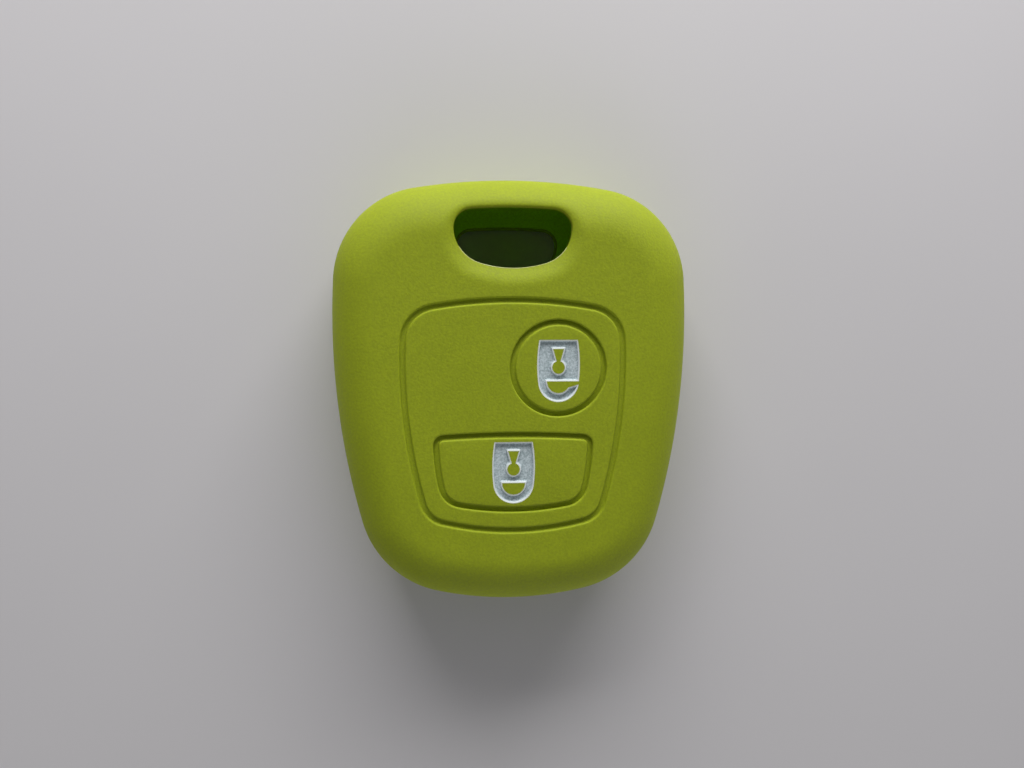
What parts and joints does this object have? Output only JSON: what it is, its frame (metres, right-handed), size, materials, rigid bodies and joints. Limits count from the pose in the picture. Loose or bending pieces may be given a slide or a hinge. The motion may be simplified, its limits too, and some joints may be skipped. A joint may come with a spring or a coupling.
{
  "type": "key fob cover",
  "caption": "Soft silicone sleeve for a car remote: rounded shield shape, key-ring slot at the top, insertion mouth at the blade end, and springy press pads with padlock signs.",
  "frame": {"origin": "on the flat back, under the middle of the outline's box, with the button face up", "axes": "+X across the cover to the right of the button face, +Y to the key-ring end, +Z out of the button face"},
  "size_m": [0.0498, 0.0592, 0.017],
  "materials": {
    "silicone": "matte moulded silicone, lime green",
    "sign_paint": "thin white silicone ink, slightly mottled"
  },
  "bodies": {
    "cover": {"front_shell": "silicone", "rear_shell": "silicone", "keypad_panel": "silicone", "panel_web": "silicone", "unlock_web": "silicone", "lock_web": "silicone"},
    "unlock_button": {"unlock_button": "silicone", "unlock_sign": "sign_paint"},
    "lock_button": {"lock_button": "silicone", "lock_sign": "sign_paint"}
  },
  "joints": [
    {"name": "unlock_press", "type": "slide", "parent": "cover", "child": "unlock_button", "axis": [0, 0, -1], "range_m": [0, 0.0008], "stiffness_N_per_m": 800, "deforming": ["unlock_web"]},
    {"name": "lock_press", "type": "slide", "parent": "cover", "child": "lock_button", "axis": [0, 0, -1], "range_m": [0, 0.0008], "stiffness_N_per_m": 800, "deforming": ["lock_web"]}
  ]
}
